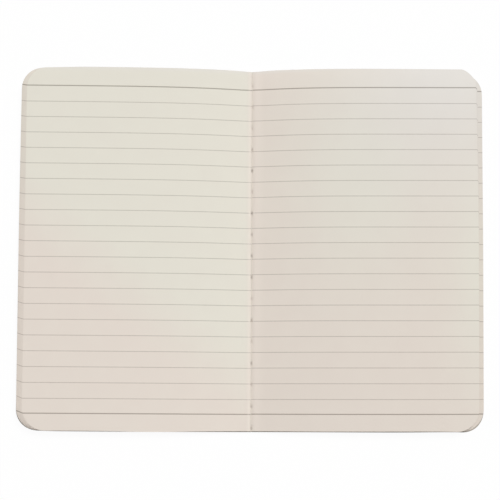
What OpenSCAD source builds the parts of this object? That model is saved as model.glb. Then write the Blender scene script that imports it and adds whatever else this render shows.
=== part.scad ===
/* [Page] */
// Width of the cover and the longest leaf, from the fold to the fore-edge
page_w = 90; // [70:1:130]
// Height of the page, from head to tail
page_h = 140; // [100:1:210]
// Radius of the rounded outer corners
corner_r = 8.5; // [4:0.5:16]

/* [Cover] */
// Thickness of the cover card
cover_t = 0.3; // [0.2:0.05:0.6]
// Half width of the strip along the crease in which the card bows up over the stitches
crease_w = 4; // [3:0.5:8]

/* [Leaves] */
// Leaves on each side of the fold, one from each folded sheet
leaf_n = 16; // [6:1:20]
// Thickness of one leaf
leaf_t = 0.09; // [0.07:0.01:0.15]
// How much further back each leaf ends than the one under it, where the folds nest
leaf_step = 0.15; // [0.1:0.01:0.25]
// Half width of the strip along the fold in which the sewing holds the leaves together
bind_w = 1.5; // [1:0.25:2.5]
// How far the top left leaf springs up
left_rise = 7.2; // [3:0.1:12]
// How far from the fold the left leaves climb, larger is a gentler slope
left_reach = 27; // [18:1:40]
// How the left leaves spread, 1 is evenly and less crowds them under the top leaf
left_spread = 0.02; // [0.02:0.02:1.2]
// How far the top right leaf springs up
right_rise = 8; // [3:0.1:12]
// How far from the fold the right leaves climb
right_reach = 24; // [18:1:40]
// How the right leaves spread
right_spread = 0.95; // [0.4:0.05:1.2]

/* [Sewing] */
// Distance from one needle hole to the next
stitch_pitch = 8.28; // [5:0.01:12]
// Distance from the tail edge to the first needle hole
first_hole = 1.55; // [1.5:0.05:5]
// Diameter of the thread
thread_d = 0.32; // [0.2:0.02:0.5]
// How far the thread dips towards each hole from the middle of a stitch
stitch_dip = 0.1; // [0.05:0.01:0.2]
// Space between the thread and the wall of its hole
hole_gap = 0.2; // [0.1:0.05:0.4]

/* [Hinge] */
// Height of the axis on which the front half closes, above the highest leaf
axis_gap = 0.26; // [0.2:0.02:1]

/* [Hidden] */
$fn = 32;

// Stations along a leaf, closer together near the fold where it bends most
profile_steps = 9;
profile_bunching = 1.5;
// The pages are seen edge on when they are drawn, so they are laid down by this turn
lay_flat = [90, 0, 0];

// The outer stitches hang under the crease and stay just off the table
table_gap = 0.03;
crease_lift = thread_d + stitch_dip + table_gap;

book_t = leaf_n * leaf_t;
fold_z = crease_lift + cover_t + book_t;
axis_z = cover_t + book_t + max(left_rise, right_rise) + axis_gap;

hole_d = thread_d + 2 * hole_gap;
hole_n = floor((page_h - 2 * first_hole) / stitch_pitch) + 1;
// The two threads pull each other tight where they lock inside a hole
locked_d = 0.85 * thread_d;
function hole_y(k) = first_hole + k * stitch_pitch - page_h / 2;

// A leaf stands on the crease of the card, then climbs and levels off
function rise_shape(x, reach) =
    let (u = exp(-2 * max(0, x - bind_w) / reach)) (1 - u) / (1 + u);
function crease_z(x) = crease_lift * max(0, 1 - x / crease_w);
function leaf_lift(i, rise, spread) = rise * pow(i / (leaf_n - 1), spread);

// Its place in the nested fold and its climb both draw a leaf's edge back to the fold
function leaf_edge(i, lift, reach) = page_w - i * leaf_step - lift * lift / (3 * reach);

function stations(edge) = concat(
    [0, bind_w],
    [for (k = [0 : profile_steps])
        crease_w + (edge - crease_w) * pow(k / profile_steps, profile_bunching)]
);

function leaf_line(level, lift, reach, edge) = [
    for (x = stations(edge))
        [x, crease_z(x) + cover_t + level * leaf_t + lift * rise_shape(x, reach)]
];

function reversed(list) = [for (k = [len(list) - 1 : -1 : 0]) list[k]];

// Outline of a page seen from above, square at the fold and round at the fore-edge
module page_plan(w) {
    translate([0, -page_h / 2]) square([w - corner_r, page_h]);
    translate([0, corner_r - page_h / 2]) square([w, page_h - 2 * corner_r]);
    for (side = [-1, 1])
        translate([w - corner_r, side * (page_h / 2 - corner_r)]) circle(r = corner_r);
}

module page_block(w, tall) {
    linear_extrude(height = tall) page_plan(w);
}

// A sheet of one thickness that follows the given line, cut to the page outline
module curved_sheet(low, high, edge) {
    intersection() {
        translate([0, page_h / 2, 0]) rotate(lay_flat)
            linear_extrude(height = page_h) polygon(concat(low, reversed(high)));
        page_block(edge, axis_z);
    }
}

// Half of each needle hole lies in the left side and half in the right
module needle_holes() {
    for (k = [0 : hole_n - 1])
        translate([0, hole_y(k), -1]) cylinder(d = hole_d, h = fold_z + 2, $fn = 8);
}

module one_leaf(i, rise, reach, spread) {
    lift = leaf_lift(i, rise, spread);
    edge = leaf_edge(i, lift, reach);
    curved_sheet(
        leaf_line(i, lift, reach, edge),
        leaf_line(i + 1, lift, reach, edge),
        edge
    );
}

module page_side(rise, reach, spread) {
    difference() {
        for (i = [0 : leaf_n - 1]) one_leaf(i, rise, reach, spread);
        needle_holes();
    }
}

module cover_side() {
    difference() {
        curved_sheet(
            [[0, crease_lift], [crease_w, 0], [page_w, 0]],
            [[0, crease_lift + cover_t], [crease_w, cover_t], [page_w, cover_t]],
            page_w
        );
        needle_holes();
    }
}

module back_cover() {
    color("#b0a89e") cover_side();
}

module front_cover() {
    color("#b0a89e") mirror([1, 0, 0]) cover_side();
}

module right_pages() {
    color("#e3dcd0") page_side(right_rise, right_reach, right_spread);
}

module left_pages() {
    color("#e6dfd2") mirror([1, 0, 0]) page_side(left_rise, left_reach, left_spread);
}

// One stitch is a shallow bow of thread that dips into a hole at each end
module stitch(k, z, up) {
    half = stitch_pitch / 2;
    bow_r = (half * half + stitch_dip * stitch_dip) / (2 * stitch_dip);
    sweep = 2 * asin(half / bow_r);
    translate([0, hole_y(k) + half, z - up * bow_r])
        rotate([0, up * -90, 0]) rotate([0, 0, -sweep / 2])
        rotate_extrude(angle = sweep, $fn = 120)
        translate([bow_r, 0]) circle(d = thread_d, $fn = 8);
}

// A run of stitches from edge to edge, trimmed with the pages at head and tail
module stitch_run(z, up) {
    for (k = [0 : hole_n - 2]) stitch(k, z, up);
    intersection() {
        for (k = [-1, hole_n - 1]) stitch(k, z, up);
        translate([-thread_d, -page_h / 2, 0]) cube([2 * thread_d, page_h, axis_z]);
    }
}

module sewing_thread() {
    inner_z = fold_z + thread_d / 2;
    outer_z = crease_lift - thread_d / 2;
    color("#f2efe6") {
        stitch_run(inner_z + stitch_dip, 1);
        stitch_run(outer_z - stitch_dip, -1);
        for (k = [0 : hole_n - 1])
            translate([0, hole_y(k), outer_z]) rotate([0, 0, 22.5])
                cylinder(d = locked_d, h = inner_z - outer_z, $fn = 8);
    }
}

back_cover();
front_cover();
right_pages();
left_pages();
sewing_thread();
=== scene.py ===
"""A thin sewn notebook with ruled pages, lying open at its centre sheet.

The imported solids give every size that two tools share. This script puts folded sheets
of paper, a folded card and a twisted thread in their places, each made by a node tree.
Lengths are in millimetres inside the trees and turned to metres where points are placed.
"""

import logging
import math
from dataclasses import dataclass, field
from enum import Enum
from typing import Any

import bpy
from mathutils import Matrix, Vector


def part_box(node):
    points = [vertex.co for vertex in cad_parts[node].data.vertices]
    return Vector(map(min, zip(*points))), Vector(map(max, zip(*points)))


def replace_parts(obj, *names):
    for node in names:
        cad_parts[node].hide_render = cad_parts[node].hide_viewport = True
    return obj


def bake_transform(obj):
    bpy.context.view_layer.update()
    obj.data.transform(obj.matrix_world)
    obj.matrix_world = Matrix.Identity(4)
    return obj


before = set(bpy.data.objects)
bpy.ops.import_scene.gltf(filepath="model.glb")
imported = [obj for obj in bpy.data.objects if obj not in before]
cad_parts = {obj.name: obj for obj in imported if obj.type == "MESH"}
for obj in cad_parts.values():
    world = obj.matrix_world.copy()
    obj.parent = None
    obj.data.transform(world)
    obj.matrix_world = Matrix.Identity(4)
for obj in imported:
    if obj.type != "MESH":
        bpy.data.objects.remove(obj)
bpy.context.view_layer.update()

LOG = logging.getLogger("notebook")
MM = 0.001
SEED = 11
# Edges that turn by more degrees than this stay sharp
SHARP_ANGLE = 50.0
# Red, green and blue in linear light, then alpha
Tone = tuple[float, float, float, float]


class Body(Enum):
    """The moving halves of the notebook, as the joint names them."""

    BACK = "back_half"
    FRONT = "front_half"


class Slot(Enum):
    """Names for the finishes of the card, the paper and the thread."""

    CARD = "cover_card"
    PAPER = "page_paper"
    THREAD = "thread"


def tone(red: float, green: float, blue: float) -> Tone:
    """Turns a colour as a screen shows it into a shader's colour.

    Args:
        red: Red from 0 to 255.
        green: Green from 0 to 255.
        blue: Blue from 0 to 255.

    Returns:
        The same colour in linear light, with full alpha.
    """
    parts = [value / 255 for value in (red, green, blue)]
    linear = [p / 12.92 if p <= 0.04045 else ((p + 0.055) / 1.055) ** 2.4 for p in parts]
    return (*linear, 1.0)


class Term:
    """One socket of a tree in an expression; each operator adds its Math node."""

    def __init__(self, bench: "Bench", socket: bpy.types.NodeSocket) -> None:
        """Keeps the socket and the bench that its tree is written on."""
        self.bench = bench
        self.socket = socket

    def __add__(self, other: Any) -> "Term":
        """Returns self + other."""
        return self.bench.math("ADD", self, other)

    def __radd__(self, other: Any) -> "Term":
        """Returns other + self."""
        return self.bench.math("ADD", other, self)

    def __sub__(self, other: Any) -> "Term":
        """Returns self - other."""
        return self.bench.math("SUBTRACT", self, other)

    def __rsub__(self, other: Any) -> "Term":
        """Returns other - self."""
        return self.bench.math("SUBTRACT", other, self)

    def __mul__(self, other: Any) -> "Term":
        """Returns self * other."""
        return self.bench.math("MULTIPLY", self, other)

    def __rmul__(self, other: Any) -> "Term":
        """Returns other * self."""
        return self.bench.math("MULTIPLY", other, self)

    def __truediv__(self, other: Any) -> "Term":
        """Returns self / other."""
        return self.bench.math("DIVIDE", self, other)

    def __pow__(self, power: Any) -> "Term":
        """Returns self to a power."""
        return self.bench.math("POWER", self, power)

    def __neg__(self) -> "Term":
        """Returns self with its sign turned."""
        return self.bench.math("MULTIPLY", self, -1.0)

    def __abs__(self) -> "Term":
        """Returns self without its sign."""
        return self.bench.math("ABSOLUTE", self)


class Bench:
    """Writes nodes into one tree, for shapes and for finishes alike."""

    def __init__(self, tree: bpy.types.NodeTree) -> None:
        """Clears the tree and keeps it.

        Args:
            tree: The tree to write in.
        """
        tree.nodes.clear()
        self.tree = tree
        self.given: bpy.types.Node | None = None

    def add(
        self,
        kind: str,
        settings: dict[str, Any] | None = None,
        inputs: dict[str | int, Any] | None = None,
    ) -> bpy.types.Node:
        """Adds a node.

        Args:
            kind: The node's type.
            settings: Its options, set before its sockets are used.
            inputs: A value or a Term for each socket, by name or number.

        Returns:
            The new node.
        """
        node = self.tree.nodes.new(kind)
        for name, value in (settings or {}).items():
            setattr(node, name, value)
        for key, value in (inputs or {}).items():
            if isinstance(value, Term):
                self.tree.links.new(value.socket, node.inputs[key])
            else:
                node.inputs[key].default_value = value
        return node

    def get(
        self,
        kind: str,
        settings: dict[str, Any] | None = None,
        inputs: dict[str | int, Any] | None = None,
        output: str | int = 0,
    ) -> Term:
        """Adds a node and returns one of its outputs; arguments as for add."""
        return Term(self, self.add(kind, settings, inputs).outputs[output])

    def math(self, operation: str, *values: Any) -> Term:
        """Adds a Math node and returns its result."""
        return self.get("ShaderNodeMath", {"operation": operation}, dict(enumerate(values)))

    def declare(self, sizes: dict[str, Any]) -> None:
        """Gives the tree its named inputs.

        Args:
            sizes: The usual value of each input by name; whole numbers become whole inputs.
        """
        face = self.tree.interface
        for name, value in sizes.items():
            kind = "NodeSocketInt" if isinstance(value, int) else "NodeSocketFloat"
            face.new_socket(name, in_out="INPUT", socket_type=kind).default_value = value
        face.new_socket("Finish", in_out="INPUT", socket_type="NodeSocketMaterial")
        face.new_socket("Shape", in_out="OUTPUT", socket_type="NodeSocketGeometry")
        self.given = self.tree.nodes.new("NodeGroupInput")

    def size(self, name: str) -> Term:
        """Returns a named input."""
        return Term(self, self.given.outputs[name])

    def keep(self, shape: Term, name: str, value: Term, kind: str = "FLOAT") -> Term:
        """Stores a value on the points of a shape.

        Args:
            shape: The shape.
            name: The attribute's name.
            value: What each point keeps.
            kind: The type of the value.

        Returns:
            The shape with the attribute.
        """
        return self.get(
            "GeometryNodeStoreNamedAttribute",
            {"data_type": kind, "domain": "POINT"},
            {"Geometry": shape, "Name": name, "Value": value},
        )

    def kept(self, name: str) -> Term:
        """Returns a number that keep stored."""
        return self.get(
            "GeometryNodeInputNamedAttribute", {"data_type": "FLOAT"}, {"Name": name}
        )

    def parts(self, vector: Term) -> tuple[Term, Term, Term]:
        """Returns the three numbers of a vector."""
        node = self.add("ShaderNodeSeparateXYZ", inputs={0: vector})
        return tuple(Term(self, output) for output in node.outputs)

    def vector(self, x: Any, y: Any, z: Any) -> Term:
        """Returns a vector from three numbers."""
        return self.get("ShaderNodeCombineXYZ", inputs={0: x, 1: y, 2: z})

    def scaled(self, vector: Term, by: float) -> Term:
        """Returns a vector times a number."""
        return self.get(
            "ShaderNodeVectorMath", {"operation": "SCALE"}, {"Vector": vector, "Scale": by}
        )

    def noise(self, place: Term, scale: float, detail: float = 2.0) -> Term:
        """Returns smooth noise about zero, from about -0.5 to 0.5."""
        return self.get(
            "ShaderNodeTexNoise", inputs={"Vector": place, "Scale": scale, "Detail": detail}
        ) - 0.5

    def bell(self, distance: Term, width: Any) -> Term:
        """Returns 1 at no distance, falling off smoothly over a width."""
        share = distance / width
        return self.math("EXPONENT", -(share * share))

    def nearest_hole(self, y: Term, half: Any, first: Any, pitch: Any) -> tuple[Term, Term]:
        """Finds the needle hole that a place along the fold is nearest to.

        Args:
            y: The place along the fold, from the middle of the page.
            half: Half the page's height.
            first: How far the first hole is from the tail edge.
            pitch: The distance from one hole to the next.

        Returns:
            The hole's number, and how far the place is from it.
        """
        steps = (y + half - first) / pitch
        number = self.math("ROUND", steps)
        return number, (steps - number) * pitch

    def strands(self, count: Term, item: Term, name: str) -> Term:
        """Repeats a shape in one place, each copy with its number.

        Args:
            count: How many copies.
            item: The shape.
            name: The attribute that holds a copy's number.

        Returns:
            The copies as one shape.
        """
        points = self.get("GeometryNodeMeshLine", inputs={"Count": count, "Offset": (0, 0, 0)})
        points = self.keep(points, name, self.get("GeometryNodeInputIndex"))
        placed = self.get(
            "GeometryNodeInstanceOnPoints", inputs={"Points": points, "Instance": item}
        )
        return self.get("GeometryNodeRealizeInstances", inputs={0: placed})

    def close(self, shape: Term) -> None:
        """Ends a shape's tree with plain geometry in its finish.

        Args:
            shape: The finished shape.
        """
        whole = self.get("GeometryNodeRealizeInstances", inputs={0: shape})
        dressed = self.get(
            "GeometryNodeSetMaterial", inputs={"Geometry": whole, "Material": self.size("Finish")}
        )
        self.add("NodeGroupOutput", inputs={0: dressed})


def top_of(node: str) -> float:
    """Returns the height of a solid's highest point, in millimetres."""
    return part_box(node)[1].z / MM


@dataclass
class NotebookForm:
    """The notebook's sizes in millimetres; the solids give those that can be read from them."""

    page_w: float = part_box("back_cover")[1].x / MM
    page_h: float = (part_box("back_cover")[1].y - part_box("back_cover")[0].y) / MM
    corner_r: float = 8.5
    card_t: float = 0.3
    crease_w: float = 4.0
    leaf_n: int = 16
    leaf_t: float = 0.09
    bind_w: float = 1.5
    left_top: float = top_of("left_pages")
    left_reach: float = 27.0
    left_spread: float = 0.02
    right_top: float = top_of("right_pages")
    right_reach: float = 24.0
    right_spread: float = 0.95
    crease_lift: float = 0.45
    hole_pitch: float = 8.28
    first_hole: float = 1.55
    leaf_step: float = 0.15

    @property
    def block_t(self) -> float:
        """The card and all the leaves, pressed together."""
        return self.card_t + self.leaf_n * self.leaf_t

    def rise(self, top: float, reach: float) -> float:
        """Returns how far the top leaf climbs, from its height at the fore-edge."""
        return (top - self.block_t) / math.tanh((self.page_w - self.bind_w) / reach)

    def sizes(self) -> dict[str, Any]:
        """Lists the inputs of the folded sheet's tree.

        Returns:
            The usual value of each input, by name.
        """
        return {
            "Sheets": 1, "Rows": 40, "Columns": 97, "First level": 0,
            "Page width": self.page_w, "Page height": self.page_h,
            "Corner radius": self.corner_r, "Card thickness": self.card_t,
            "Crease lift": self.crease_lift, "Crease width": self.crease_w,
            "Leaf thickness": self.leaf_t, "Top level": self.leaf_n - 1,
            "Bound width": self.bind_w, "Leaf step": self.leaf_step,
            "Left rise": self.rise(self.left_top, self.left_reach),
            "Left reach": self.left_reach, "Left spread": self.left_spread,
            "Right rise": self.rise(self.right_top, self.right_reach),
            "Right reach": self.right_reach, "Right spread": self.right_spread,
            "Hole pitch": self.hole_pitch, "First hole": self.first_hole,
            "Dimple depth": 0.0, "Dimple width": 0.42, "Dimple length": 0.85,
            "Fold pinch": 0.16, "Wave": 0.16, "Tuck": 0.0,
            "Head corner": -0.2, "Left trim": 0.42, "Right trim": 0.46,
            "Left corner trim": 0.05, "Right corner trim": 0.2, "Corner reach": 30.0,
            "Left tail slip": 0.0, "Right tail slip": -0.17, "Slip place": 77.5,
            "Head slip": 0.3, "Corner drift": -2.8, "Corner flatness": 0.35,
            "Fold dip": 0.25, "Left inset": 0.12, "Right inset": 0.0, "Top inset": 0.15,
            "Left taper": 0.3, "Right taper": 0.3, "Right lean": -0.6, "Cut slip": 0.06,
        }


class SheetTree:
    """The node tree of folded sheets: a sheet lies in the fold, climbs and levels off."""

    # Where a sheet's columns leave the straight part and start round the corner
    straight_share: float = 0.72
    column_bunching: float = 2.1
    # Right leaves up to this level lie on the card, the others tuck under the top leaf
    resting_level: float = 1.5
    # Along the tail the left leaves reach nearly to the card's edge in one stretch
    hug_place: float = 37.0
    hug_reach: float = 15.0
    hug_share: float = 0.75
    # How far from the fold the cut of head and tail changes, and over what length
    corner_place: float = 78.0
    head_slip_reach: float = 8.0
    tail_slip_reach: float = 5.0
    right_slip_shift: float = 3.5
    dip_reach: float = 5.0
    pinch_reach: float = 0.9
    # The wave that all sheets share and each sheet's own: how fast it changes across
    # and along the page, and how high it is beside the size named Wave
    shared_wave: tuple[float, float, float] = (0.016, 0.02, 1.6)
    own_wave: tuple[float, float, float] = (0.03, 0.035, 0.5)
    # Far enough apart in the noise for each sheet's wave to be its own
    level_step: float = 3.7

    def __init__(self, form: NotebookForm) -> None:
        """Writes the tree.

        Args:
            form: The notebook's sizes.
        """
        self.bench = Bench(bpy.data.node_groups.new("folded sheet", "GeometryNodeTree"))
        self.bench.declare(form.sizes())
        self.write()

    def of_side(self, right: Term, name: str) -> Term:
        """Returns the left or the right value of a size, by the side a point is on."""
        left = self.bench.size(f"Left {name}")
        return left + (self.bench.size(f"Right {name}") - left) * right

    def wave(self, x: Term, y: Term, layer: Any, form: tuple[float, float, float]) -> Term:
        """Makes a gentle unevenness of the paper.

        Args:
            x: Distance across the page.
            y: Distance along the page.
            layer: Tells the waves of different sheets apart.
            form: How fast it changes across and along the page, and its height.

        Returns:
            The height of the wave, about zero.
        """
        fast_x, fast_y, height = form
        place = self.bench.vector(x * fast_x, y * fast_y, layer)
        return self.bench.noise(place, 1.0, 1.0) * height

    def write(self) -> None:
        """Writes the nodes: a flat grid for each sheet, then its place on the notebook."""
        bench = self.bench
        size = bench.size
        grid = bench.get("GeometryNodeMeshGrid", inputs={
            "Size X": 2.0, "Size Y": 2.0,
            "Vertices X": size("Columns"), "Vertices Y": size("Rows"),
        })
        sheets = bench.strands(size("Sheets"), grid, "sheet_number")
        level = bench.kept("sheet_number") + size("First level")
        grid_x, grid_y, _ = bench.parts(bench.get("GeometryNodeInputPosition"))
        across = abs(grid_x)
        right = bench.math("GREATER_THAN", grid_x, 0.0)
        to_head = bench.math("MAXIMUM", grid_y, 0.0)
        to_tail = bench.math("MAXIMUM", -grid_y, 0.0)

        # How far from the fold the leaf ends
        leaf = bench.math("MAXIMUM", level, 0.0)
        share = leaf / size("Top level")
        lift = self.of_side(right, "rise") * share ** self.of_side(right, "spread")
        reach = self.of_side(right, "reach")
        bowed = bench.math("GREATER_THAN", leaf, self.resting_level)
        tuck = size("Tuck") * right * (1 - share) * bowed
        lean = size("Right lean") * right * share * to_head * to_head
        taper = size("Left taper") * (1 - right) * (1 - share) * to_head * to_head \
            + size("Right taper") * right * to_tail
        slip = bench.get(
            "FunctionNodeRandomValue", {"data_type": "FLOAT"},
            {2: -1.0, 3: 1.0, "ID": level * 2 + right, "Seed": SEED}, 1,
        )
        inset = self.of_side(right, "inset") + size("Top inset") * (1 - right) * share
        edge = size("Page width") - inset - leaf * size("Leaf step") \
            - lift * lift / (3 * reach) - tuck + lean - taper + slip * size("Cut slip")

        # The outline, rounded at the corners
        straight = bench.math("MINIMUM", across / self.straight_share, 1.0)
        beyond = bench.math("MAXIMUM", across - self.straight_share, 0.0)
        turn = beyond / (1 - self.straight_share) * (math.pi / 2)
        # Leaf by leaf the head corner of the right side is cut tighter and flatter
        drift = right * share * share * to_head
        corner = size("Corner radius") + grid_y * size("Head corner") \
            + drift * size("Corner drift")
        power = 1 + drift * size("Corner flatness")
        out = (edge - corner) * straight ** self.column_bunching \
            + corner * bench.math("SINE", turn) ** power
        half = size("Page height") / 2 - corner + corner * bench.math("COSINE", turn) ** power

        # The tail is cut a little short of the card, most of all at the corners
        hugs = (1 - right) * bench.bell(out - self.hug_place, self.hug_reach) * self.hug_share
        near_corner = bench.bell(out - self.corner_place, size("Corner reach"))
        slip_place = size("Slip place") + right * self.right_slip_shift
        trim = self.of_side(right, "trim") * (1 - hugs) \
            + self.of_side(right, "corner trim") * near_corner \
            + self.of_side(right, "tail slip") * bench.bell(out - slip_place, self.tail_slip_reach)
        trim = trim * (0.5 - 0.5 * grid_y)
        near_head = to_head * bench.bell(out - self.corner_place, self.head_slip_reach)
        dip = size("Fold dip") * (0.5 + 0.5 * grid_y) * bench.bell(out, self.dip_reach) \
            + size("Head slip") * (1 - right) * near_head
        y = grid_y * half + trim - dip
        x = out * (right * 2 - 1)

        # The height: up over the crease, up with the fold's thickness, then the climb
        bow = bench.math("MAXIMUM", 1 - out / size("Crease width"), 0.0)
        bow = bow * bow * (3 - 2 * bow)
        pinch = 1 - size("Fold pinch") * bench.bell(out, self.pinch_reach)
        free = bench.math("MAXIMUM", out - size("Bound width") * (1 - share), 0.0)
        climb = bench.math("TANH", free / reach)
        _, from_hole = bench.nearest_hole(
            y, size("Page height") / 2, size("First hole"), size("Hole pitch")
        )
        dimple = size("Dimple depth") * bench.bell(out, size("Dimple width")) \
            * bench.bell(from_hole, size("Dimple length"))
        away = out / size("Page width")
        swell = self.wave(x, y, 0.0, self.shared_wave) \
            + self.wave(x, y, level * self.level_step, self.own_wave)
        wave = size("Wave") * share * away * away * swell
        z = size("Crease lift") * bow + size("Card thickness") \
            + (level + 1) * size("Leaf thickness") * pinch + lift * climb - dimple + wave

        rest = bench.vector(x, y, level)
        sheets = bench.keep(sheets, "page_place", rest, "FLOAT_VECTOR")
        sheets = bench.keep(sheets, "print_slip", slip)
        sheets = bench.get("GeometryNodeSetPosition", inputs={
            "Geometry": sheets, "Position": bench.scaled(bench.vector(x, y, z), MM),
        })
        bench.close(sheets)


class ThreadTree:
    """The node tree of the sewing: twisted yarns inside and outside the fold."""

    # The threads are cut with the paper, which ends a little short of the card
    end_trim: float = 0.4
    # The first yarns make the thread inside the fold, the others the one outside
    inner_yarns: int = 2
    yarn_sides: int = 6
    sway_rate: float = 0.25
    # Far enough apart in the noise for the two threads to sway on their own
    sway_step: float = 9.0

    def __init__(self, form: NotebookForm, sizes: dict[str, Any]) -> None:
        """Writes the tree.

        Args:
            form: The notebook's sizes.
            sizes: The inputs of the tree and their usual values.
        """
        self.bench = Bench(bpy.data.node_groups.new("sewing", "GeometryNodeTree"))
        self.bench.declare(sizes)
        self.form = form
        self.write()

    def write(self) -> None:
        """Writes the nodes: straight yarns, then their dips and their twist."""
        bench = self.bench
        size = bench.size
        half = self.form.page_h / 2
        cut = half - self.end_trim
        line = bench.get("GeometryNodeCurvePrimitiveLine", inputs={
            "Start": (0.0, -cut, 0.0), "End": (0.0, cut, 0.0),
        })
        line = bench.get(
            "GeometryNodeResampleCurve", inputs={"Curve": line, "Count": size("Points")}
        )
        yarns = bench.strands(size("Yarns"), line, "yarn_number")
        number = bench.kept("yarn_number")
        outside = bench.math("GREATER_THAN", number, self.inner_yarns - 0.5)
        ply = number - outside * self.inner_yarns
        _, y, _ = bench.parts(bench.get("GeometryNodeInputPosition"))

        _, from_hole = bench.nearest_hole(y, half, size("First hole"), size("Hole pitch"))
        dip = size("Dip") * bench.bell(from_hole, size("Dip length"))
        inner = size("Inner height") - dip
        outer = size("Outer height") + dip
        swaying = bench.vector(0.0, y * self.sway_rate, outside * self.sway_step)
        sway = bench.noise(swaying, 1.0, 1.0) * size("Sway")
        turn = y / size("Twist length") * math.tau + ply * math.pi
        ply_r = size("Ply radius")
        x = sway + ply_r * bench.math("COSINE", turn)
        z = inner + (outer - inner) * outside + ply_r * bench.math("SINE", turn)
        rest = bench.vector(y, turn, number)
        yarns = bench.keep(yarns, "yarn_place", rest, "FLOAT_VECTOR")
        yarns = bench.get("GeometryNodeSetPosition", inputs={
            "Geometry": yarns, "Position": bench.scaled(bench.vector(x, y, z), MM),
        })
        profile = bench.get("GeometryNodeCurvePrimitiveCircle", inputs={
            "Resolution": self.yarn_sides, "Radius": size("Yarn radius") * MM,
        })
        tubes = bench.get("GeometryNodeCurveToMesh", inputs={
            "Curve": yarns, "Profile Curve": profile, "Fill Caps": True,
        })
        bench.close(tubes)


def grown(
    name: str, tree: bpy.types.NodeTree, sizes: dict[str, Any], thickness: float = 0.0
) -> bpy.types.Object:
    """Makes a piece from a tree and turns it into a plain mesh at the origin.

    Args:
        name: The piece's name.
        tree: The tree that makes it.
        sizes: The inputs that differ from the tree's usual ones, by name.
        thickness: The wall it gets below its surface, in millimetres, or none.

    Returns:
        The finished object.
    """
    piece = bpy.data.objects.new(name, bpy.data.meshes.new(name))
    bpy.context.scene.collection.objects.link(piece)
    growth = piece.modifiers.new("growth", "NODES")
    growth.node_group = tree
    keys = {
        item.name: item.identifier
        for item in tree.interface.items_tree
        if item.item_type == "SOCKET" and item.in_out == "INPUT"
    }
    for key, value in sizes.items():
        growth[keys[key]] = value
    if thickness:
        wall = piece.modifiers.new("wall", "SOLIDIFY")
        wall.thickness = thickness * MM
        wall.offset = -1.0
    graph = bpy.context.evaluated_depsgraph_get()
    mesh = bpy.data.meshes.new_from_object(
        piece.evaluated_get(graph), preserve_all_data_layers=True, depsgraph=graph
    )
    piece.modifiers.clear()
    piece.data = mesh
    mesh.shade_smooth()
    mesh.set_sharp_from_angle(angle=math.radians(SHARP_ANGLE))
    mesh.calc_loop_triangles()
    LOG.info("%s: %d triangles", name, len(mesh.loop_triangles))
    return piece


class Painter:
    """A material's tree, with what the finishes share."""

    def __init__(self, name: str) -> None:
        """Makes the material.

        Args:
            name: The material's name.
        """
        self.material = bpy.data.materials.new(name)
        self.material.use_nodes = True
        self.bench = Bench(self.material.node_tree)

    def stored(self, name: str) -> bpy.types.Node:
        """Returns the node that reads a value kept on the mesh."""
        return self.bench.add("ShaderNodeAttribute", {"attribute_name": name})

    def mixed(self, share: Any, first: Any, second: Any, how: str = "MIX") -> Term:
        """Returns a mix of two colours."""
        return self.bench.get(
            "ShaderNodeMix", {"data_type": "RGBA", "blend_type": how},
            {0: share, 6: first, 7: second}, 2,
        )

    def finish(
        self, colour: Term, roughness: Any, relief: Term, depth: float, fixed: dict[str, Any]
    ) -> None:
        """Ends the material.

        Args:
            colour: Its colour.
            roughness: Its roughness.
            relief: The height that its bump reads.
            depth: The bump's depth in millimetres.
            fixed: Values of the surface that are the same all over.
        """
        bench = self.bench
        bump = bench.get("ShaderNodeBump", inputs={
            "Strength": 1.0, "Distance": depth * MM, "Height": relief,
        })
        surface = bench.get("ShaderNodeBsdfPrincipled", inputs={
            "Base Color": colour, "Roughness": roughness, "Normal": bump, **fixed,
        })
        bench.add("ShaderNodeOutputMaterial", inputs={"Surface": surface})


@dataclass(frozen=True)
class Patch:
    """A soft patch on a page, strongest in one place."""

    x: float
    x_reach: float
    y: float
    y_reach: float

    def share(self, bench: Bench, x: Term, y: Term) -> Term:
        """Returns how much of the patch shows at a place, from 0 to 1."""
        return bench.bell(x - self.x, self.x_reach) * bench.bell(y - self.y, self.y_reach)


@dataclass
class PagePlace:
    """Where a point lies on its page, from the fold and from the middle of the height."""

    bench: Bench
    whole: Term
    x: Term
    y: Term
    level: Term
    # 1 on the left pages, and 1 on all sheets but the top one
    left: Term
    lower: Term


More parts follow.
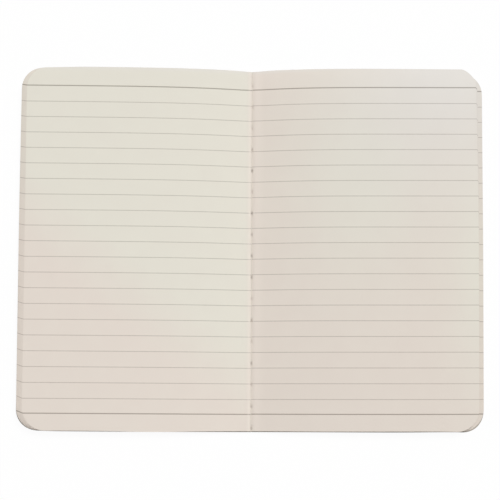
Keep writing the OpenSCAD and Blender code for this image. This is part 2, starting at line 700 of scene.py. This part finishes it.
@dataclass(frozen=True)
class PaperFinish:
    """Smooth writing paper with printed rules; places are in millimetres on the page."""

    clean_tone: Tone = tone(226, 222, 210)
    aged_tone: Tone = tone(226, 216, 206)
    cool_tone: Tone = tone(227, 223, 217)
    rule_ink: Tone = tone(212, 210, 209)
    border_ink: Tone = tone(187, 184, 181)
    # Painted shade in the needle holes
    hole_shade_tone: Tone = tone(112, 105, 96)
    # Painted highlight on the holes' lips and beside the fold
    lip_highlight_tone: Tone = tone(238, 231, 220)
    # The ruling, counted from the head, and how its ink covers
    rule_n: int = 20
    rule_pitch: float = 5.99
    first_rule: float = 56.42
    head_rule: float = 62.62
    foot_rule: float = -63.0
    rule_w: float = 0.27
    border_w: float = 0.4
    ink_edge: float = 0.05
    ink_cover: float = 0.92
    ink_change: float = 0.5
    ink_scale: float = 1.3
    # How the print sits askew on the two sides, and slips from sheet to sheet
    left_tilt: float = -0.0017
    left_drop: float = -0.135
    right_drop: float = -0.03
    right_curl: float = 0.31
    lower_slip: float = 0.5
    tail_slip: float = 0.5
    slip_range: float = 0.12
    # Painted shade in the needle holes of the fold, and a painted highlight on their lips and on
    # the ridge beside them
    hole_seed: float = 32626.0
    hole_x: float = 0.05
    hole_l: float = 0.75
    hole_w: float = 0.36
    faintest_hole: float = 0.1
    hole_shade_gain: float = 0.6
    lip_x: float = 0.75
    lip_l: float = 1.1
    lip_w: float = 0.3
    lip_highlight_gain: float = 0.5
    ridge_x: float = -0.9
    ridge_w: float = 0.6
    ridge_highlight_gain: float = 0.25
    # The paper has yellowed below a slanting limit on the left, and on the right apart
    # from two patches; it is cooler towards the head's fore-edge and along the head
    ageing_slant: float = 0.83
    ageing_limit: float = -55.0
    ageing_blur: float = 30.0
    clean_near: Patch = Patch(42.0, 28.0, 30.0, 42.0)
    clean_far: Patch = Patch(90.0, 14.0, -5.0, 50.0)
    fold_ageing_w: float = 1.6
    lower_ageing: float = 0.5
    mottled_ageing: float = 0.3
    cool_patch: Patch = Patch(75.0, 40.0, 75.0, 45.0)
    cool_head_w: float = 1.1
    cool_head_gain: float = 0.6
    # Painted shade: the right pages are a little darker, less so at the fold, the fore-edge and
    # the head
    right_shade: float = 0.03
    fold_reach: float = 20.0
    fold_less_shade: float = 0.045
    fore_edge: float = 90.0
    fore_reach: float = 14.0
    fore_less_shade: float = 0.02
    head_edge: float = 74.0
    head_reach: float = 12.0
    head_less_shade: float = 0.05
    # Painted shade on all the sheets below the top one
    lower_shade: float = 0.055
    # The paper's own fibres and clouds
    fibre_scale: float = 2.6
    fibre_detail: float = 4.0
    fibre_gain: float = 0.035
    mottle_scale: float = 0.12
    mottle_detail: float = 3.0
    mottle_gain: float = 0.03
    brightness: float = 0.995
    roughness: float = 0.78
    fibre_roughness: float = 0.1
    ink_smoothness: float = 0.1
    relief: float = 0.012
    mottle_relief: float = 2.0
    gloss: float = 0.25

    def line(self, bench: Bench, distance: Term, width: float) -> Term:
        """Returns how much ink of a rule lies at a distance from its middle."""
        return bench.get(
            "ShaderNodeMath", {"operation": "MULTIPLY_ADD", "use_clamp": True},
            {0: abs(distance), 1: -1 / self.ink_edge, 2: width / 2 / self.ink_edge + 0.5},
        )

    def ruling(self, at: PagePlace, slip: Term, form: NotebookForm) -> tuple[Term, Term]:
        """Prints the page.

        Args:
            at: The place on the page.
            slip: How far the sheet's print has slipped, from -1 to 1.
            form: The notebook's sizes.

        Returns:
            The ink of the thin rules, and of the head and foot rules.
        """
        bench = at.bench
        depth = 1 - at.level / (form.leaf_n - 1)
        to_tail = 0.5 - at.y / form.page_h
        climb = self.lower_slip + to_tail * to_tail * self.tail_slip
        shift = depth * (slip * self.slip_range + at.left * climb)
        on_left = self.left_drop + at.x * self.left_tilt
        away = at.x / form.page_w
        on_right = self.right_drop + away * away * self.right_curl
        printed_y = at.y - shift - on_right - (on_left - on_right) * at.left

        step = (self.first_rule - printed_y) / self.rule_pitch
        nearest = (step - bench.math("ROUND", step)) * self.rule_pitch
        middle = (self.rule_n - 1) / 2
        ruled = bench.math("LESS_THAN", abs(step - middle), middle + 0.5)
        cover = self.ink_cover + bench.noise(at.whole, self.ink_scale) * self.ink_change
        rules = self.line(bench, nearest, self.rule_w) * ruled * cover
        borders = bench.math(
            "MAXIMUM",
            self.line(bench, printed_y - self.head_rule, self.border_w),
            self.line(bench, printed_y - self.foot_rule, self.border_w),
        )
        return rules, borders

    def hole_shade_and_highlight(self, at: PagePlace, form: NotebookForm) -> tuple[Term, Term]:
        """Paints shade into the needle holes in the fold, some stronger than others, and a
        highlight on their lips and beside the fold.

        Args:
            at: The place on the page.
            form: The notebook's sizes.

        Returns:
            How dark the painted shade of a hole is at the place, and how strong the painted
            highlight on its lips and the ridge is.
        """
        bench = at.bench
        number, away = bench.nearest_hole(
            at.y, form.page_h / 2, form.first_hole, form.hole_pitch
        )
        strength = bench.get(
            "ShaderNodeTexWhiteNoise", {"noise_dimensions": "1D"}, {"W": number + self.hole_seed}
        )
        beside = at.x - self.hole_x
        # Painted shade in the holes, and a painted highlight on their lips and on the ridge beside
        # the fold
        hole = bench.bell(away, self.hole_l) * bench.bell(beside, self.hole_w)
        lips = bench.bell(away, self.lip_l) * bench.bell(abs(beside) - self.lip_x, self.lip_w)
        ridge = bench.bell(at.x - self.ridge_x, self.ridge_w) * self.ridge_highlight_gain
        dark = hole * (self.faintest_hole + strength * self.hole_shade_gain)
        return dark, ridge + lips * strength * self.lip_highlight_gain

    def clean_share(self, at: PagePlace) -> Term:
        """Works out how little the paper has yellowed.

        Args:
            at: The place on the page.

        Returns:
            A share from 0 to 1, small towards the tail and beside the fold on the right.
        """
        bench = at.bench
        on_left = bench.get(
            "ShaderNodeMath", {"operation": "MULTIPLY_ADD", "use_clamp": True},
            {
                0: at.y + at.x * self.ageing_slant,
                1: 1 / self.ageing_blur, 2: 0.5 - self.ageing_limit / self.ageing_blur,
            },
        )
        on_right = self.clean_near.share(bench, at.x, at.y) \
            + self.clean_far.share(bench, at.x, at.y)
        return on_right + (on_left - on_right) * at.left - bench.bell(at.x, self.fold_ageing_w)

    def sheet_tone(self, paint: Painter, at: PagePlace, mottle: Term, form: NotebookForm) -> Term:
        """Mixes the colour of the bare sheet.

        Args:
            paint: The material's painter.
            at: The place on the page.
            mottle: The paper's clouds.
            form: The notebook's sizes.

        Returns:
            The colour before painted shade, fibres, clouds and print.
        """
        bench = at.bench
        clean = self.clean_share(at) * (1 - at.lower * self.lower_ageing) \
            + mottle * self.mottled_ageing
        sheet = paint.mixed(clean, self.aged_tone, self.clean_tone)
        along_head = bench.bell(at.y - form.page_h / 2, self.cool_head_w) * self.cool_head_gain
        cool = bench.math("MAXIMUM", self.cool_patch.share(bench, at.x, at.y), along_head)
        return paint.mixed(cool, sheet, self.cool_tone)

    def shade(self, at: PagePlace) -> Term:
        """Works out the painted shade: how much darker the paper is than its colour.

        Args:
            at: The place on the page.

        Returns:
            A small share of painted shade, more on the lower sheets and on the right pages.
        """
        bench = at.bench
        # Painted shade on the right pages, less of it near the fold, the fore-edge and the head,
        # and on the lower sheets
        on_right = self.right_shade - bench.bell(at.x, self.fold_reach) * self.fold_less_shade \
            - bench.bell(at.x - self.fore_edge, self.fore_reach) * self.fore_less_shade \
            - bench.bell(at.y - self.head_edge, self.head_reach) * self.head_less_shade
        return at.lower * self.lower_shade + on_right * (1 - at.left)

    def material(self, form: NotebookForm) -> bpy.types.Material:
        """Builds the material.

        Args:
            form: The notebook's sizes.

        Returns:
            The finished material.
        """
        paint = Painter("ruled paper")
        bench = paint.bench
        place = Term(bench, paint.stored("page_place").outputs["Vector"])
        slip = Term(bench, paint.stored("print_slip").outputs["Fac"])
        x, y, level = bench.parts(place)
        left = bench.math("LESS_THAN", x, 0.0)
        lower = bench.math("LESS_THAN", level, form.leaf_n - 1.5)
        at = PagePlace(bench, place, x, y, level, left, lower)
        fibre = bench.noise(place, self.fibre_scale, self.fibre_detail)
        mottle = bench.noise(place, self.mottle_scale, self.mottle_detail)
        rules, borders = self.ruling(at, slip, form)
        dark, pale = self.hole_shade_and_highlight(at, form)

        sheet = self.sheet_tone(paint, at, mottle, form)
        # The paper's fibres and clouds, less the painted shade
        grain_and_painted_shade = self.brightness + fibre * self.fibre_gain + mottle * self.mottle_gain \
            - self.shade(at)
        colour = paint.mixed(1.0, sheet, bench.vector(grain_and_painted_shade, grain_and_painted_shade, grain_and_painted_shade), "MULTIPLY")
        colour = paint.mixed(rules, colour, self.rule_ink, "MULTIPLY")
        colour = paint.mixed(borders, colour, self.border_ink, "MULTIPLY")
        # Painted highlight on the holes' lips and beside the fold
        colour = paint.mixed(pale, colour, self.lip_highlight_tone)
        # Painted shade in the needle holes
        colour = paint.mixed(dark, colour, self.hole_shade_tone)
        roughness = self.roughness + fibre * self.fibre_roughness - rules * self.ink_smoothness
        bumps = fibre + mottle * self.mottle_relief
        paint.finish(colour, roughness, bumps, self.relief, {"Specular IOR Level": self.gloss})
        return paint.material


@dataclass(frozen=True)
class CardFinish:
    """Plain warm grey card with darker fibres, rubbed pale along the crease."""

    base_tone: Tone = tone(178, 170, 160)
    cloud_tone: Tone = tone(170, 162, 151)
    fibre_tone: Tone = tone(140, 130, 117)
    worn_tone: Tone = tone(198, 192, 183)
    cloud_scale: float = 0.2
    cloud_detail: float = 5.0
    # The fibres lie along the card's height, and only the strongest flecks show
    fleck_rate: tuple[float, float] = (2.4, 0.9)
    fleck_detail: float = 3.0
    fleck_range: tuple[float, float] = (0.12, 0.24)
    fibre_share: float = 0.55
    worn_w: float = 1.6
    worn_share: float = 0.55
    roughness: float = 0.7
    cloud_roughness: float = 0.25
    relief: float = 0.03
    gloss: float = 0.3

    def material(self) -> bpy.types.Material:
        """Builds the material.

        Returns:
            The finished material.
        """
        paint = Painter("cover card")
        bench = paint.bench
        place = Term(bench, paint.stored("page_place").outputs["Vector"])
        x, y, _ = bench.parts(place)
        cloud = bench.noise(place, self.cloud_scale, self.cloud_detail)
        fast_x, fast_y = self.fleck_rate
        flecks = bench.noise(bench.vector(x * fast_x, y * fast_y, 0.0), 1.0, self.fleck_detail)
        faintest, strongest = self.fleck_range
        fibres = bench.get(
            "ShaderNodeMapRange", {"clamp": True},
            {"Value": flecks, "From Min": faintest, "From Max": strongest},
        )
        colour = paint.mixed(0.5 + cloud, self.base_tone, self.cloud_tone)
        colour = paint.mixed(fibres * self.fibre_share, colour, self.fibre_tone)
        worn = bench.bell(x, self.worn_w) * (self.worn_share + cloud)
        colour = paint.mixed(worn, colour, self.worn_tone)
        roughness = self.roughness + cloud * self.cloud_roughness
        fixed = {"Specular IOR Level": self.gloss}
        paint.finish(colour, roughness, flecks + cloud, self.relief, fixed)
        return paint.material


@dataclass(frozen=True)
class ThreadFinish:
    """Undyed cotton thread whose yarns show their fibres."""

    base_tone: Tone = tone(228, 223, 212)
    shade_tone: Tone = tone(206, 200, 188)
    # How fast the fibres change along a yarn, round it and from yarn to yarn
    strand_rate: tuple[float, float, float] = (1.5, 3.0, 5.0)
    strand_detail: float = 4.0
    roughness: float = 0.85
    strand_roughness: float = 0.1
    relief: float = 0.02
    sheen: float = 0.2
    gloss: float = 0.2

    def material(self) -> bpy.types.Material:
        """Builds the material.

        Returns:
            The finished material.
        """
        paint = Painter("cotton thread")
        bench = paint.bench
        place = Term(bench, paint.stored("yarn_place").outputs["Vector"])
        spread = bench.vector(*(part * rate for part, rate in zip(
            bench.parts(place), self.strand_rate)))
        strands = bench.noise(spread, 1.0, self.strand_detail)
        colour = paint.mixed(0.5 + strands, self.base_tone, self.shade_tone)
        roughness = self.roughness + strands * self.strand_roughness
        fixed = {"Sheen Weight": self.sheen, "Specular IOR Level": self.gloss}
        paint.finish(colour, roughness, strands, self.relief, fixed)
        return paint.material


@dataclass
class SheetRun:
    """Some neighbouring sheets that one piece holds, and how finely they are made."""

    name: str
    first: int
    count: int
    rows: int
    extra: dict[str, float] = field(default_factory=dict)


class HalfBlend:
    """Bakes the transforms of the pieces that cross the fold."""

    # Half width of the strip that turns when the notebook closes
    strip: float = 8.0

    @classmethod
    def sheet(cls, piece: bpy.types.Object) -> None:
        """Bakes a sheet's transform into its mesh."""
        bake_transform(piece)

    @classmethod
    def thread(cls, piece: bpy.types.Object) -> None:
        """Bakes the stitches' transform into their mesh."""
        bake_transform(piece)


@dataclass
class PageBlock:
    """The folded sheets, nested in each other and open in the middle."""

    form: NotebookForm
    finish: PaperFinish = PaperFinish()
    sheet_t: float = 0.075
    tuck: float = 1.9
    runs: tuple[SheetRun, ...] = (
        SheetRun("centre_sheet", 15, 1, 300, {
            "Dimple depth": 0.32,
        }),
        SheetRun("inner_sheets", 11, 4, 100, {
            "Dimple depth": 0.42, "Dimple width": 0.6, "Dimple length": 1.1,
        }),
        SheetRun("outer_sheets", 0, 11, 14),
    )

    def build(self, tree: SheetTree) -> list[bpy.types.Object]:
        """Builds the sheets.

        Args:
            tree: The tree of folded sheets.

        Returns:
            One piece for each run of sheets.
        """
        paper = self.finish.material(self.form)
        pieces = []
        for run in self.runs:
            sizes = {
                "First level": run.first, "Sheets": run.count, "Rows": run.rows,
                "Tuck": self.tuck, "Finish": paper, **run.extra,
            }
            piece = grown(run.name, tree.bench.tree, sizes, self.sheet_t)
            HalfBlend.sheet(piece)
            pieces.append(piece)
        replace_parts(pieces[-1], "left_pages", "right_pages")
        return pieces


@dataclass
class CoverCard:
    """The folded cover, pierced along its crease."""

    form: NotebookForm
    finish: CardFinish = CardFinish()

    def build(self, tree: SheetTree) -> bpy.types.Object:
        """Builds the card as one sheet under all the leaves.

        Args:
            tree: The tree of folded sheets.

        Returns:
            The finished card.
        """
        sizes = {
            "First level": -1, "Rows": 200, "Wave": 0.0,
            "Dimple depth": -0.22, "Dimple width": 0.5, "Finish": self.finish.material(),
            "Head corner": 0.1, "Left trim": 0.12, "Right trim": 0.155,
            "Left corner trim": 0.07, "Right corner trim": 0.22, "Corner reach": 15.0,
            "Left tail slip": 0.23, "Right tail slip": -0.2, "Slip place": 83.5,
            "Left inset": 0.0, "Right inset": 0.0,
        }
        piece = grown("cover_sheet", tree.bench.tree, sizes, self.form.card_t)
        HalfBlend.sheet(piece)
        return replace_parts(piece, "back_cover", "front_cover")


@dataclass
class Sewing:
    """Lock stitches through the fold: one thread inside, one outside."""

    form: NotebookForm
    finish: ThreadFinish = ThreadFinish()
    yarn_r: float = 0.075
    ply_r: float = 0.06
    fold_drop: float = 0.3
    dip: float = 0.6

    def build(self) -> bpy.types.Object:
        """Builds both threads as one piece.

        Returns:
            The finished stitches.
        """
        form = self.form
        thread_r = self.yarn_r + self.ply_r
        sizes = {
            "Points": 900, "Yarns": 4, "Hole pitch": form.hole_pitch,
            "First hole": form.first_hole, "Dip": self.dip, "Dip length": 0.75,
            "Inner height": form.crease_lift + form.block_t - self.fold_drop + thread_r,
            "Outer height": form.crease_lift - thread_r,
            "Twist length": 1.1, "Ply radius": self.ply_r,
            "Yarn radius": self.yarn_r, "Sway": 0.12,
        }
        tree = ThreadTree(form, sizes)
        piece = grown("stitches", tree.bench.tree, {"Finish": self.finish.material()})
        HalfBlend.thread(piece)
        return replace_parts(piece, "sewing_thread")


@dataclass
class Studio:
    """The floor, the light and the camera."""

    floor_w: float = 4.0
    floor_drop: float = 0.0001
    floor_tone: float = 0.93
    floor_glow: float = 0.955
    sky: float = 0.24
    lamp_share: float = 0.76
    lamp_place: tuple[float, float, float] = (0.8, 1.1, 4.65)
    lamp_w: float = 1.3
    camera_place: tuple[float, float, float] = (-15.87, -62.83, 680.0)
    camera_turn: tuple[float, float, float] = (-5.301, 1.289, -0.235)
    focal_px: float = 1763.4
    picture_px: int = 500
    film_w: float = 36.0
    nearest_sight: float = 0.01

    def shows_to_viewer(self, bench: Bench) -> Term:
        """Tells the background that is seen from the light that falls on the notebook.

        Args:
            bench: The bench of the floor or the sky.

        Returns:
            1 for what the camera, a reflection or a clear material sees, else 0.
        """
        path = bench.add("ShaderNodeLightPath")
        seen = [Term(bench, path.outputs[name]) for name in (
            "Is Camera Ray", "Is Glossy Ray", "Is Transmission Ray")]
        return bench.math("MINIMUM", seen[0] + seen[1] + seen[2], 1.0)

    def floor(self) -> None:
        """Lays a pale floor that keeps a faint shadow."""
        half = self.floor_w / 2
        mesh = bpy.data.meshes.new("floor")
        corners = [(x * half, y * half, -self.floor_drop)
                   for x, y in ((-1, -1), (1, -1), (1, 1), (-1, 1))]
        mesh.from_pydata(corners, [], [(0, 1, 2, 3)])
        floor = bpy.data.objects.new("floor", mesh)
        bpy.context.scene.collection.objects.link(floor)
        material = bpy.data.materials.new("pale floor")
        material.use_nodes = True
        bench = Bench(material.node_tree)
        pale = (self.floor_tone, self.floor_tone, self.floor_tone, 1)
        matt = bench.get("ShaderNodeBsdfDiffuse", inputs={"Color": pale})
        glow = bench.get("ShaderNodeEmission", inputs={"Color": (1, 1, 1, 1), "Strength": 1.0})
        both = bench.get("ShaderNodeMixShader", inputs={
            0: self.shows_to_viewer(bench) * self.floor_glow, 1: matt, 2: glow,
        })
        bench.add("ShaderNodeOutputMaterial", inputs={"Surface": both})
        mesh.materials.append(material)

    def light(self) -> None:
        """Sets a soft white sky and one large lamp at the upper right."""
        world = bpy.data.worlds.new("sky")
        bpy.context.scene.world = world
        world.use_nodes = True
        bench = Bench(world.node_tree)
        sky, white = (
            bench.get("ShaderNodeBackground", inputs={"Color": (1, 1, 1, 1), "Strength": strength})
            for strength in (self.sky, 1.0)
        )
        both = bench.get("ShaderNodeMixShader", inputs={
            0: self.shows_to_viewer(bench), 1: sky, 2: white,
        })
        bench.add("ShaderNodeOutputWorld", inputs={"Surface": both})

        lamp = bpy.data.lights.new("window", "AREA")
        place = Vector(self.lamp_place)
        slant = place.normalized().z
        lamp.shape = "SQUARE"
        lamp.size = self.lamp_w
        # A lamp of this power lights a level page by its share of full white
        lamp.energy = self.lamp_share * math.pi ** 2 * place.length_squared / slant
        holder = bpy.data.objects.new("window", lamp)
        holder.location = place
        holder.rotation_euler = place.to_track_quat("Z", "Y").to_euler()
        bpy.context.scene.collection.objects.link(holder)

    def camera(self) -> None:
        """Puts the camera where the printed rules of the photograph place it."""
        data = bpy.data.cameras.new("camera")
        data.sensor_width = self.film_w
        data.lens = self.focal_px / self.picture_px * self.film_w
        data.clip_start = self.nearest_sight
        holder = bpy.data.objects.new("camera", data)
        over, lean, spin = (math.radians(a) for a in self.camera_turn)
        to_camera = (
            Matrix.Rotation(spin, 3, "Z")
            @ Matrix.Rotation(over, 3, "X")
            @ Matrix.Rotation(lean, 3, "Y")
        )
        holder.matrix_world = (
            Matrix.Translation(Vector(self.camera_place) * MM) @ to_camera.transposed().to_4x4()
        )
        bpy.context.scene.collection.objects.link(holder)
        bpy.context.scene.camera = holder

    def build(self) -> None:
        """Sets the whole studio up."""
        self.floor()
        self.light()
        self.camera()
        bpy.context.scene.view_settings.view_transform = "Standard"


def main() -> None:
    """Builds the notebook in its studio and reports each piece."""
    logging.basicConfig(level=logging.INFO, format="%(name)s %(message)s")
    form = NotebookForm()
    tree = SheetTree(form)
    pieces = PageBlock(form).build(tree)
    pieces.append(CoverCard(form).build(tree))
    pieces.append(Sewing(form).build())
    for piece in pieces:
        LOG.info("%s is in place", piece.name)
    Studio().build()


if __name__ == "__main__":
    main()
